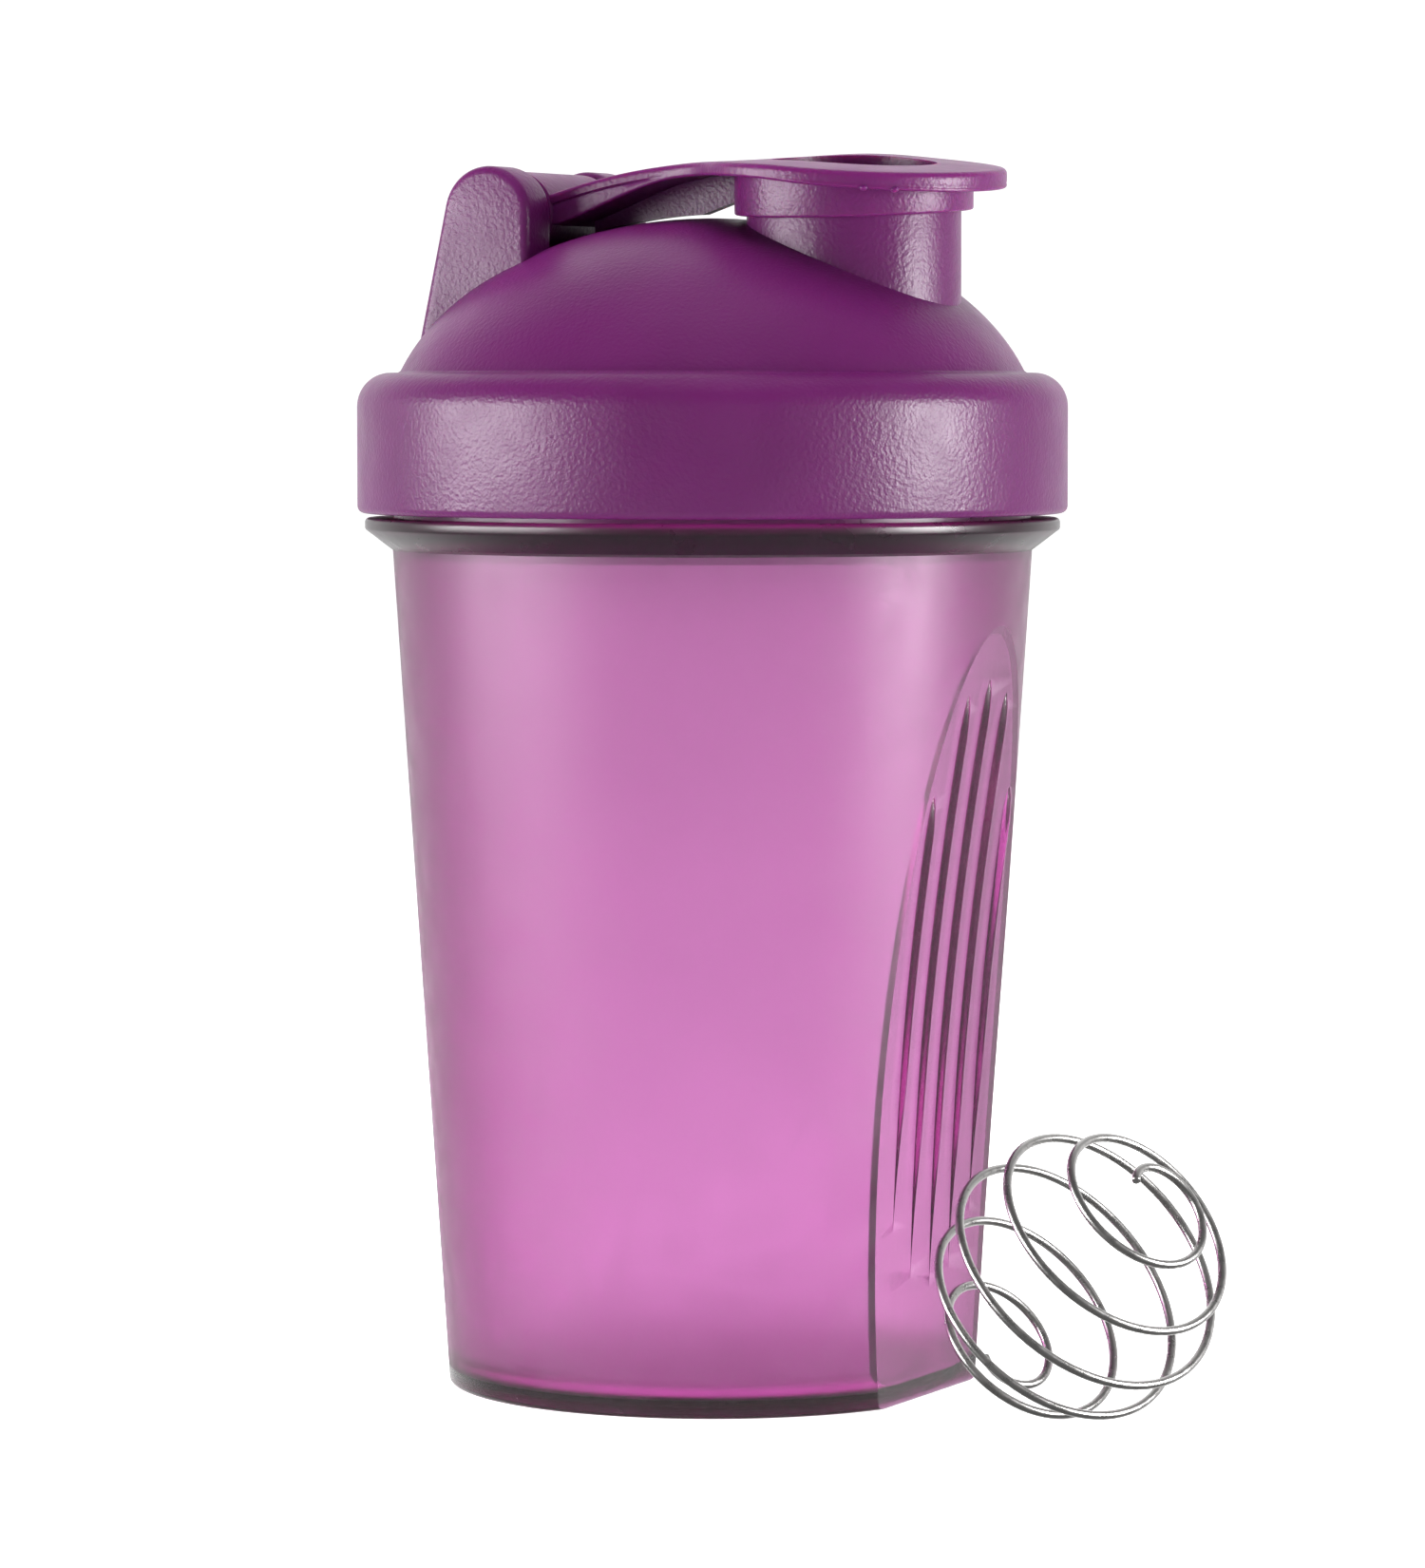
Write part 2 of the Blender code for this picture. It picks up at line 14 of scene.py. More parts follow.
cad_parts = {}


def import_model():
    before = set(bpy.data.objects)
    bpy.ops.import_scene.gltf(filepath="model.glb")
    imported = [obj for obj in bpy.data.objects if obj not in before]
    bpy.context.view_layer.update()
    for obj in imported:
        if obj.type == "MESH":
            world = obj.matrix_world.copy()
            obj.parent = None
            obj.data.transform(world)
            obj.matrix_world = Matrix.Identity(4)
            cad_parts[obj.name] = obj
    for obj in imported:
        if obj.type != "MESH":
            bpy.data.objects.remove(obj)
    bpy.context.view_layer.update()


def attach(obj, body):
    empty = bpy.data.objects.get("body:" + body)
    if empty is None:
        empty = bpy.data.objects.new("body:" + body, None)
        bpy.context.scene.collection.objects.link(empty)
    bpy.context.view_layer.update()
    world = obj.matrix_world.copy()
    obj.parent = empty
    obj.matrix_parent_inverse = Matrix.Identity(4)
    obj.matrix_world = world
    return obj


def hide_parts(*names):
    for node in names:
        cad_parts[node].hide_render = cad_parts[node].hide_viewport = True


MM = 0.001
STEPS = 192
FINE_STEPS = 96
CUT_OVER = 1.0 * MM
ON_AXIS = 1e-9
SAME_POINT = 1e-6

# Cup
CUP_BASE_R = 35.4 * MM
CUP_TAPER = 0.066
CUP_WALL = 1.6 * MM
FLOOR_T = 2.5 * MM
FLOOR_FILLET = 3.0 * MM
BASE_ROUND = 0.8 * MM
GROOVE_R = (26.0 * MM, 28.0 * MM)
GROOVE_DEPTH = 0.8 * MM
GROOVE_SLOPE = 0.3 * MM
FLANGE_R = 46.5 * MM
FLANGE_FOOT = 111.9 * MM
FLANGE_LOW = 114.7 * MM
FLANGE_TOP = 116.2 * MM
FLANGE_ROUND = 0.6 * MM
FLANGE_EASE = 0.35 * MM
FLANGE_EASE_OUT = 0.5 * MM
NECK_R = 42.6 * MM
NECK_TOP = 131.5 * MM
NECK_ROUND = 0.5 * MM
BORE_STEP = 1.0 * MM
CONE_RINGS = 14
CUP_SHARP_ANGLE = 14.0

# Grip panels and their ribs
PANEL_FOOT_X = 31.8 * MM
PANEL_CURVE_R = 511.0 * MM
PANEL_TOP = 106.0 * MM
PANEL_CUT = (60.0 * MM, 30.0 * MM)
RIB_WIDTH = 2.5 * MM
RIB_FOOT_WIDTH = 0.5 * MM
RIB_HEIGHT = 0.7 * MM
RIB_SINK = 0.4 * MM
RIB_PITCH = 6.15 * MM
RIB_RUN_OUT = 45.0 * MM
RIB_TOP_ROUND = 5.0 * MM
RIB_SPANS = ((11.4 * MM, 95.4 * MM), (13.2 * MM, 93.4 * MM), (19.9 * MM, 80.5 * MM))
RIB_OVERLAP = 0.02 * MM
RIB_TOP_SHARE = 0.4
RIB_ROOT_SHARE = 0.8
RIB_CURVE = 1.5
RIB_ACROSS = 16
PANEL_STEPS = 40
FACE_SLACK = 0.025 * MM
FACING_SIDE = 0.95

# Screw thread
THREAD_LEAD = 6.0 * MM
THREAD_TURNS = 1.25
THREAD_CREST = 0.9 * MM
THREAD_ROOT = 2.2 * MM
RIDGE_SINK = 0.5 * MM
NECK_RIDGE_R = 44.0 * MM
COLLAR_RIDGE_R = 43.2 * MM
NECK_RIDGE_Z = 119.5 * MM

# Lid
COLLAR_R = 47.5 * MM
COLLAR_BORE = 45.3 * MM
COLLAR_FOOT = 116.8 * MM
COLLAR_TOP = 135.5 * MM
COLLAR_ROUND = 4.5 * MM
COLLAR_FOOT_ROUND = 1.0 * MM
DOME_R = 44.0 * MM
DOME_RISE = 29.9 * MM
DOME_TOP = 156.05 * MM
DOME_FOOT_R = 41.5 * MM
DOME_FILLET = 0.55 * MM
FILLET_MIDDLE = (0.35, 0.4)
DOME_WALL = 1.8 * MM
SEAT_Z = 133.6 * MM
LIP_R = (39.0 * MM, 40.4 * MM)
LIP_FOOT = 130.0 * MM
SPOUT_X = 20.8 * MM
SPOUT_R = 14.2 * MM
SPOUT_BORE = 12.5 * MM
SPOUT_TOP = 158.7 * MM
SPOUT_ROUND = 0.4 * MM
HINGE_X = -24.9 * MM
HINGE_Z = 156.5 * MM
EAR_Y = (10.7 * MM, 18.0 * MM)
EAR_R = 6.4 * MM
EAR_BACK_FOOT = (-36.4 * MM, 134.0 * MM)
EAR_ROUND = 1.2 * MM
EAR_CORNER_ANGLE = 60.0
SOCKET_R = 2.75 * MM
SOCKET_END_Y = 14.6 * MM
SOCKET_EASE = 0.2 * MM
LID_SHARP_ANGLE = 30.0
# The lid's cutters start at their own angles in degrees, so that no corners coincide.
CORE_TURN = 0.4
SPOUT_TURN = 2.0
BORE_TURN = 3.0

# Flip cap
KNUCKLE_R = 5.9 * MM
KNUCKLE_RELIEF_R = 6.2 * MM
KNUCKLE_HALF = 9.8 * MM
KNUCKLE_RELIEF_HALF = 10.3 * MM
KNUCKLE_EASE = 0.3 * MM
TRUNNION_R = 2.5 * MM
TRUNNION_END_Y = 14.2 * MM
STRAP_HALF = 9.6 * MM
STRAP_FLARE_R = 15.0 * MM
DISC_R = 20.2 * MM
ARCH_TOP_X = 11.0 * MM
ARCH_TOP_Z = 163.9 * MM
ARCH_CURVE = 4.9
DISC_CURVE = 5.7
DISC_FLAT_X = 20.0 * MM
CROWN = 0.5 * MM
CROWN_X = (10.0 * MM, 24.0 * MM)
STRAP_ROOT_X = -18.0 * MM
STRAP_ROOT_T = 4.3 * MM
STRAP_T = 1.8 * MM
DISC_T = 2.1 * MM
DISC_T_X = (12.0 * MM, 24.0 * MM)
PLATE_TOP_ROUND = 0.7 * MM
PLATE_FOOT_ROUND = 0.35 * MM
CREASE_DEPTH = 0.3 * MM
CREASE_HALF = 0.2 * MM
CREASE_Z = 1.5 * MM
CREASE_GAP = 0.1 * MM
CREASE_RETURN = 0.4
CREASE_FADE_T = 1.0 * MM
PLATE_COLUMNS = 12
SKIRT_R = 15.8 * MM
SKIRT_BORE = 14.6 * MM
SKIRT_FOOT = 156.6 * MM
SKIRT_ROUND = 0.35 * MM
PLUG_R = 12.1 * MM
PLUG_FOOT = 154.0 * MM
PLUG_FLOOR = 156.0 * MM
PLUG_BORE = 11.0 * MM
PLUG_CHAMFER = 0.6 * MM
PLUG_TRIM_X = (-22.0 * MM, 45.0 * MM)
PLUG_TRIM_HALF = 24.0 * MM
PLUG_TRIM_STEPS = 60
RECESS_TURN = 1.5
GROOVE_TOP = 159.1 * MM
WEB_HALF = 1.2 * MM
WEB_GAP = 0.5 * MM
WEB_X = (-17.0 * MM, -1.0 * MM, 6.0 * MM)
WEB_RISE = 0.34
WEB_STEPS = 12
ABOVE_CAP = 185.0 * MM
CAP_SHARP_ANGLE = 32.0
NUB_R = 0.45 * MM
NUB_INSET = 0.27 * MM
NUB_LIFT = 0.135 * MM
NUB_SHAPE = (1.3, 1.3, 0.9, 1.0)
NUB_ANGLES = (-50.0, -61.7)
# The closed cap sits a little rolled: its near side is lower than its far side.
ROLL = 0.065
ROLL_X = (-14.0 * MM, 15.0 * MM)

# Seal ring
SEAL_R = (40.8 * MM, 44.8 * MM)
SEAL_Z = (131.8 * MM, 133.3 * MM)
SEAL_ROUND = 0.45 * MM
SEAL_SHARP_ANGLE = 40.0

# Whisk ball
BALL_R = 18.96 * MM
WIRE_R = 0.58 * MM
BALL_X = 58.5 * MM
BALL_Y = -11.5 * MM
BALL_AXIS = (0.723, -0.270, 0.636)
BALL_TURNS = 5.85
BALL_POLES = (math.radians(11.8), math.radians(10.2))
BALL_START = math.radians(129.0)
POINTS_A_TURN = 72
WIRE_SIDES = 16
WIRE_END_R = 0.75
WIRE_END_OUT = 0.25
WIRE_SHARP_ANGLE = 50.0

# Colours, in linear light. Each cup finish is a tint and a roughness; the neck's darker tint is painted
# shade and the foot's lighter tint is painted light.
CUP_ABSORB = (0.790, 0.310, 0.705)
CUP_DENSITY = 760.0
CUP_FINISHES_AND_PAINTED_LIGHT = {
    "frosted": ((0.86, 0.85, 0.865), 0.39),
    "clear": ((0.86, 0.85, 0.865), 0.17),
    # The neck's tint is painted shade: darker than the rest of the cup.
    "neck": ((0.38, 0.28, 0.37), 0.30),
    # The foot's tint is painted light: lighter than the rest of the cup.
    "foot": ((1.0, 0.98, 1.0), 0.24),
}
LID_PURPLE = (0.080, 0.006, 0.069)
CAP_PURPLE = (0.090, 0.0065, 0.077)
SEAL_WHITE = (0.72, 0.70, 0.68)
STEEL = (0.58, 0.57, 0.56)
FLOOR_WHITE = (0.80, 0.80, 0.80)
CLOUD_WHITE = (0.97, 0.97, 0.97)
NOISE_RANGE = (0.3, 0.7)

# Camera and light
CAMERA_AZIMUTH = math.radians(26.0)
CAMERA_DISTANCE = 0.877
CAMERA_Z = 0.134
CAMERA_AIM_Z = 0.0804
CAMERA_LENS = 150.3
CAMERA_CLIP = 0.05
TOP_LIGHT_SIZE = 0.7
TOP_LIGHT_POWER = 13.0
TOP_LIGHT_Z = 1.0
LEFT_BOX = {"side_angle": -74.0, "distance": 0.6, "height": 0.16, "size": (0.54, 0.20), "power": 5.2}
RIGHT_BOX = {"side_angle": 72.0, "distance": 0.6, "height": 0.15, "size": (0.26, 0.20), "power": 4.9}
ROOM_LIGHT = 0.13
BACKDROP_LIGHT = 1.15
BACKDROP_SEEN = 1.1
BACKDROP_EDGE = (0.2, 0.9)
FLOOR_HALF = 8.0
FLOOR_GLOW = 0.85


# ---------------------------------------------------------------- mesh tools


def add_mesh(name, bm):
    """Turns a bmesh into an object with its faces turned outward."""
    bmesh.ops.recalc_face_normals(bm, faces=bm.faces)
    mesh = bpy.data.meshes.new(name)
    bm.to_mesh(mesh)
    bm.free()
    obj = bpy.data.objects.new(name, mesh)
    bpy.context.scene.collection.objects.link(obj)
    return obj


def combine(obj, other, operation):
    """Applies one Boolean to obj and removes the other shape."""
    modifier = obj.modifiers.new("combine", "BOOLEAN")
    modifier.operation = operation
    modifier.solver = "EXACT"
    modifier.object = other
    bpy.context.view_layer.update()
    graph = bpy.context.evaluated_depsgraph_get()
    result = bpy.data.meshes.new_from_object(obj.evaluated_get(graph))
    obj.modifiers.clear()
    obj.data = result
    bpy.data.objects.remove(other)


def spread(start, end, count):
    """Evenly spaced values from start to end, both included."""
    return [start + (end - start) * i / count for i in range(count + 1)]


def smooth(obj, angle):
    obj.data.shade_smooth()
    obj.data.set_sharp_from_angle(angle=math.radians(angle))


def arc(centre_x, centre_z, radius, start, end, count):
    """Points along an arc, angles in degrees."""
    points = []
    for i in range(count + 1):
        angle = math.radians(start + (end - start) * i / count)
        points.append((centre_x + radius * math.cos(angle), centre_z + radius * math.sin(angle)))
    return points


def turned(name, profile, steps=STEPS, axis_x=0.0, start=0.0, closed=False):
    """A profile of (radius, z) points turned about the vertical line at X = axis_x."""
    bm = bmesh.new()
    rings = []
    for radius, z in profile:
        if radius < ON_AXIS:
            rings.append([bm.verts.new((axis_x, 0.0, z))] * steps)
            continue
        ring = []
        for i in range(steps):
            angle = 2 * math.pi * i / steps + math.radians(start)
            x, y = axis_x + radius * math.cos(angle), radius * math.sin(angle)
            ring.append(bm.verts.new((x, y, z)))
        rings.append(ring)
    pairs = list(zip(rings, rings[1:]))
    if closed:
        pairs.append((rings[-1], rings[0]))
    for low, high in pairs:
        for i in range(steps):
            j = (i + 1) % steps
            corners = []
            for vert in (low[i], low[j], high[j], high[i]):
                if vert not in corners:
                    corners.append(vert)
            bm.faces.new(corners)
    return add_mesh(name, bm)


def prism(name, outline, low, high):
    """A flat outline in XZ pushed out along Y."""
    bm = bmesh.new()
    near = [bm.verts.new((x, low, z)) for x, z in outline]
    far = [bm.verts.new((x, high, z)) for x, z in outline]
    bm.faces.new(near)
    bm.faces.new(far)
    for i in range(len(outline)):
        j = (i + 1) % len(outline)
        bm.faces.new((near[i], near[j], far[j], far[i]))
    return add_mesh(name, bm)


def add_loft(bm, rings):
    """Adds a closed solid through rings of points that all have the same count."""
    rows = [[bm.verts.new(point) for point in ring] for ring in rings]
    count = len(rings[0])
    for near, far in zip(rows, rows[1:]):
        for i in range(count):
            j = (i + 1) % count
            bm.faces.new((near[i], near[j], far[j], far[i]))
    bm.faces.new(rows[0])
    bm.faces.new(rows[-1])


def hinge_bar(name, steps, ease):
    """A bar along the hinge line; steps lists (radius, half length), thickest first."""
    half = []
    for i, (radius, end) in enumerate(steps):
        if i:
            half.append((radius, steps[i - 1][1]))
        half += [(radius, end - ease), (radius - ease, end)]
    half.append((0.0, steps[-1][1]))
    obj = turned(name, [(radius, -y) for radius, y in reversed(half)] + half, FINE_STEPS)
    turn = Matrix.Rotation(math.radians(90.0), 4, "X")
    obj.data.transform(Matrix.Translation((HINGE_X, 0.0, HINGE_Z)) @ turn)
    return obj


def add_ridge(name, root_r, crest_r, start_z):
    """A helical thread ridge whose ends run out to nothing."""
    steps = int(THREAD_TURNS * FINE_STEPS)
    lead_in = FINE_STEPS // 12
    sunk = root_r - math.copysign(RIDGE_SINK, crest_r - root_r)
    hidden = (root_r + sunk) / 2
    rings = []
    for i in range(steps + 1):
        angle = 2 * math.pi * i / FINE_STEPS
        z = start_z + THREAD_LEAD * i / FINE_STEPS
        crest = hidden + (crest_r - hidden) * min(1.0, i / lead_in, (steps - i) / lead_in)
        section = (
            (sunk, z - THREAD_ROOT / 2),
            (crest, z - THREAD_CREST / 2),
            (crest, z + THREAD_CREST / 2),
            (sunk, z + THREAD_ROOT / 2),
        )
        rings.append([(r * math.cos(angle), r * math.sin(angle), h) for r, h in section])
    bm = bmesh.new()
    add_loft(bm, rings)
    return add_mesh(name, bm)


def smooth_step(value):
    value = min(1.0, max(0.0, value))
    return value * value * (3 - 2 * value)


# ---------------------------------------------------------------- cup


def cone_radius(z):
    return CUP_BASE_R + CUP_TAPER * z


def panel_x(z):
    """Distance of the grip panel's surface from the axis at height z."""
    return PANEL_FOOT_X + PANEL_CURVE_R - math.sqrt(PANEL_CURVE_R**2 - z**2)


def panel_cutter(name, side, inset):
    """Everything outside one grip panel, moved in by inset."""
    reach, half_y = PANEL_CUT
    low = -2 * CUT_OVER
    outline = [(side * (panel_x(z) - inset), z) for z in spread(low, PANEL_TOP, PANEL_STEPS)]
    outline += [(side * reach, PANEL_TOP), (side * reach, low)]
    return prism(name, outline, -half_y, half_y)


def rib_ring(side, middle, z, half, height):
    """One closed ring across a rib: a rounded bulge over a narrower hidden root."""
    ring = []
    for share in spread(-1.0, 1.0, RIB_ACROSS):
        bulge = height * math.cos(share * math.pi / 2) ** RIB_CURVE
        ring.append((side * (panel_x(z) - RIB_OVERLAP + bulge), middle + half * share, z))
    for share in (RIB_ROOT_SHARE, -RIB_ROOT_SHARE):
        ring.append((side * (panel_x(z) - RIB_SINK), middle + half * share, z))
    return ring


def panel_ribs(name, side):
    """Five rounded ribs that start as points and end in round tops."""
    bm = bmesh.new()
    for row in range(-2, 3):
        low, high = RIB_SPANS[abs(row)]
        rings = []
        for z in spread(low, high, PANEL_STEPS):
            rise = smooth_step((z - low) / RIB_RUN_OUT)
            fall = math.sqrt(max(0.0, min(1.0, (high - z) / RIB_TOP_ROUND)))
            widening = rise * (RIB_TOP_SHARE + (1 - RIB_TOP_SHARE) * fall)
            half = (RIB_FOOT_WIDTH + (RIB_WIDTH - RIB_FOOT_WIDTH) * widening) / 2
            height = RIB_HEIGHT * min(1.0, 2 * rise) * fall
            rings.append(rib_ring(side, row * RIB_PITCH, z, half, height))
        add_loft(bm, rings)
    return add_mesh(name, bm)


def make_cup():
    outer = [(0.0, NECK_TOP)]
    outer += arc(NECK_R - NECK_ROUND, NECK_TOP - NECK_ROUND, NECK_ROUND, 90, 0, 8)
    outer += [(NECK_R, FLANGE_TOP)]
    outer += arc(FLANGE_R - FLANGE_ROUND, FLANGE_TOP - FLANGE_ROUND, FLANGE_ROUND, 90, 0, 8)
    outer += arc(FLANGE_R - FLANGE_ROUND, FLANGE_LOW + FLANGE_ROUND / 2, FLANGE_ROUND, -10, -45, 4)
    foot_r = cone_radius(FLANGE_FOOT)
    outer += [(foot_r + FLANGE_EASE_OUT, FLANGE_FOOT + FLANGE_EASE)]
    outer += [(cone_radius(z), z) for z in spread(FLANGE_FOOT, FLOOR_T, CONE_RINGS)]
    outer += arc(cone_radius(BASE_ROUND) - BASE_ROUND, BASE_ROUND, BASE_ROUND, 0, -90, 8)
    outer += [(GROOVE_R[1], 0.0), (GROOVE_R[1] - GROOVE_SLOPE, GROOVE_DEPTH)]
    outer += [(GROOVE_R[0] + GROOVE_SLOPE, GROOVE_DEPTH), (GROOVE_R[0], 0.0), (0.0, 0.0)]
    cup = turned("cup_shell", outer)

    wall_z = FLOOR_T + FLOOR_FILLET
    corner_r = cone_radius(wall_z) - CUP_WALL
    bore = NECK_R - CUP_WALL
    over = NECK_TOP + CUT_OVER
    radii = spread(bore, corner_r, CONE_RINGS)
    heights = spread(FLANGE_FOOT - BORE_STEP, wall_z, CONE_RINGS)
    inner = [(0.0, over), (bore, over)]
    inner += list(zip(radii, heights))[:-1]
    inner += arc(corner_r - FLOOR_FILLET, wall_z, FLOOR_FILLET, 0, -90, 8)
    inner += [(0.0, FLOOR_T)]
    cavity = turned("cavity", inner)
    for side in (1, -1):
        combine(cup, panel_cutter("panel", side, 0.0), "DIFFERENCE")
        combine(cavity, panel_cutter("panel", side, CUP_WALL), "DIFFERENCE")
        combine(cup, panel_ribs("ribs", side), "UNION")
    combine(cup, add_ridge("ridge", NECK_R, NECK_RIDGE_R, NECK_RIDGE_Z), "UNION")
    combine(cup, cavity, "DIFFERENCE")
    smooth(cup, CUP_SHARP_ANGLE)
    return cup


def cup_finish_and_painted_light(face):
    """How a face of the cup is finished: a row of the cup's finishes table, whose neck tint is painted
    shade and whose foot tint is painted light.
    """
    x, z = abs(face.center.x), face.center.z
    # The neck gets a darker tint: painted shade.
    if z > FLANGE_FOOT + FLANGE_EASE:
        return CUP_FINISHES_AND_PAINTED_LIGHT["neck"]
    # The foot band gets a lighter tint: painted light.
    if z < FLOOR_T - FACE_SLACK:
        return CUP_FINISHES_AND_PAINTED_LIGHT["foot"]
    if z > PANEL_TOP:
        return CUP_FINISHES_AND_PAINTED_LIGHT["frosted"]
    below_cone = math.hypot(face.center.x, face.center.y) < cone_radius(z) - FACE_SLACK
    outside = x > panel_x(z) - FACE_SLACK and below_cone
    inside = abs(x - panel_x(z) + CUP_WALL) < FACE_SLACK and abs(face.normal.x) > FACING_SIDE
    return CUP_FINISHES_AND_PAINTED_LIGHT["clear" if outside or inside else "frosted"]


def finish_cup_with_painted_light(cup):
    """Stores each face's tint, with painted shade on the neck and painted light on the foot, and its
    roughness, and ends the shading at each border.
    """
    tints_with_painted_light, grains = [], []
    finishes = {}
    for face in cup.data.polygons:
        colour, roughness = cup_finish_and_painted_light(face)
        tints_with_painted_light += [*colour, 1.0]
        grains.append(roughness)
        for key in face.edge_keys:
            finishes.setdefault(key, set()).add((colour, roughness))
    for edge in cup.data.edges:
        if len(finishes[edge.key]) > 1:
            edge.use_edge_sharp = True
    # The face tint holds painted shade on the neck and painted light on the foot.
    tint_with_painted_light_layer = cup.data.attributes.new("tint_with_painted_light", "FLOAT_COLOR", "FACE")
    tint_with_painted_light_layer.data.foreach_set("color", tints_with_painted_light)
    grain_layer = cup.data.attributes.new("finish_roughness", "FLOAT", "FACE")
    grain_layer.data.foreach_set("value", grains)


# ---------------------------------------------------------------- lid


def dome_z(radius, inset=0.0):
    """Height of the dome's surface, or of its inside with an inset."""
    ratio = radius / (DOME_R - inset)
    return DOME_TOP - inset - (DOME_RISE - inset) * (1 - math.sqrt(1 - ratio**2))


def dome_points(outer_r, inset, count):
    """The dome's profile from its top down to outer_r, evenly spaced in angle."""
    end = math.asin(outer_r / (DOME_R - inset))
    radii = [(DOME_R - inset) * math.sin(end * i / count) for i in range(count + 1)]
    return [(radius, dome_z(radius, inset)) for radius in radii]


def hinge_ear(name, side):
    """One ear: an arch that leans back down to the collar, with rounded edges."""
    lean = math.degrees(math.atan2(HINGE_X - EAR_R - EAR_BACK_FOOT[0], HINGE_Z - EAR_BACK_FOOT[1]))
    outline = [(HINGE_X + EAR_R, EAR_BACK_FOOT[1])]
    outline += arc(HINGE_X, HINGE_Z, EAR_R, 0, 180 - lean, 40)
    outline += [EAR_BACK_FOOT]
    low, high = sorted((side * EAR_Y[0], side * EAR_Y[1]))
    ear = prism(name, outline, low, high)
    bevel = ear.modifiers.new("round", "BEVEL")
    bevel.width = EAR_ROUND
    bevel.segments = 5
    bevel.limit_method = "ANGLE"
    bevel.angle_limit = math.radians(EAR_CORNER_ANGLE)
    return ear


def make_lid():
    profile = dome_points(DOME_FOOT_R, 0.0, 30)
    fillet_x = DOME_FOOT_R + DOME_FILLET
    across, up = FILLET_MIDDLE
    profile += [(DOME_FOOT_R + DOME_FILLET * across, COLLAR_TOP + DOME_FILLET * up)]
    profile += [(fillet_x, COLLAR_TOP)]
    profile += arc(COLLAR_R - COLLAR_ROUND, COLLAR_TOP - COLLAR_ROUND, COLLAR_ROUND, 90, 0, 14)
    foot = COLLAR_FOOT + COLLAR_FOOT_ROUND
    profile += arc(COLLAR_R - COLLAR_FOOT_ROUND, foot, COLLAR_FOOT_ROUND, 0, -90, 6)
    profile += [(COLLAR_BORE, COLLAR_FOOT), (COLLAR_BORE, SEAT_Z), (LIP_R[1], SEAT_Z)]
    profile += [(LIP_R[1], LIP_FOOT), (LIP_R[0], LIP_FOOT)]
    profile += dome_points(LIP_R[0], DOME_WALL, 20)[::-1]
    lid = turned("lid_shell", profile)

    core_r = (LIP_R[0] + LIP_R[1]) / 2
    core_profile = dome_points(core_r, DOME_WALL / 2, 24)
    core_profile += [(core_r, LIP_FOOT + CUT_OVER), (0.0, LIP_FOOT + CUT_OVER)]
    for side in (-1, 1):
        ear = hinge_ear("ear", side)
        combine(ear, turned("core", core_profile, start=CORE_TURN), "DIFFERENCE")
        combine(lid, ear, "UNION")
    spout_foot = dome_z(SPOUT_X + SPOUT_R, DOME_WALL) - CUT_OVER
    spout_profile = [(0.0, SPOUT_TOP)]
    spout_profile += arc(SPOUT_R - SPOUT_ROUND, SPOUT_TOP - SPOUT_ROUND, SPOUT_ROUND, 90, 0, 4)
    spout_profile += [(SPOUT_R, spout_foot), (0.0, spout_foot)]
    spout = turned("spout", spout_profile, FINE_STEPS, SPOUT_X, SPOUT_TURN)
    combine(spout, turned("core", core_profile, start=CORE_TURN), "DIFFERENCE")
    combine(lid, spout, "UNION")

    bore_top = SPOUT_TOP + CUT_OVER
    bore_foot = LIP_FOOT + 2 * CUT_OVER
    bore = [(0.0, bore_top), (SPOUT_BORE, bore_top), (SPOUT_BORE, bore_foot), (0.0, bore_foot)]
    combine(lid, turned("bore", bore, FINE_STEPS, SPOUT_X, BORE_TURN), "DIFFERENCE")
    space = [(KNUCKLE_RELIEF_R, KNUCKLE_RELIEF_HALF), (SOCKET_R, SOCKET_END_Y)]
    combine(lid, hinge_bar("hinge_space", space, SOCKET_EASE), "DIFFERENCE")
    ridge = add_ridge("ridge", COLLAR_BORE, COLLAR_RIDGE_R, NECK_RIDGE_Z + THREAD_LEAD / 2)
    combine(lid, ridge, "UNION")
    smooth(lid, LID_SHARP_ANGLE)
    return lid


# ---------------------------------------------------------------- flip cap


def arch_z(x):
    """Height of the cap's top edge: it arches over and runs on straight to the tip."""
    if x < ARCH_TOP_X:
        return ARCH_TOP_Z - ARCH_CURVE * (x - ARCH_TOP_X) ** 2
    bend = min(x, DISC_FLAT_X) - ARCH_TOP_X
    return ARCH_TOP_Z - DISC_CURVE * bend**2 - 2 * DISC_CURVE * bend * (x - ARCH_TOP_X - bend)


def plate_top(x, y):
    start, end = CROWN_X
    crown = CROWN * smooth_step((x - start) / (end - start))
    return arch_z(x) + crown * (1 - (y / DISC_R) ** 2)


def plate_thickness(x):
    """Thick at the knuckle, thin over the arch and firm in the disc."""
    root = 1 - smooth_step((x - STRAP_ROOT_X) / -STRAP_ROOT_X)
    start, end = DISC_T_X
    disc = smooth_step((x - start) / (end - start))
    return STRAP_T + root * (STRAP_ROOT_T - STRAP_T) + disc * (DISC_T - STRAP_T)


def half_outline():
    """One side of strap and disc in plan, from the hinge to the tip."""
    reach = DISC_R + STRAP_FLARE_R
    flare_y = STRAP_HALF + STRAP_FLARE_R
    flare_x = SPOUT_X - math.sqrt(reach**2 - flare_y**2)
    joint = math.degrees(math.asin(flare_y / reach))
    count = 24
    half = [(x, STRAP_HALF) for x in spread(HINGE_X, flare_x, count)[:-1]]
    half += arc(flare_x, flare_y, STRAP_FLARE_R, -90, -joint, 12)
    half += arc(SPOUT_X, 0.0, DISC_R, 180 - joint, 0, 72)[1:]
    return half


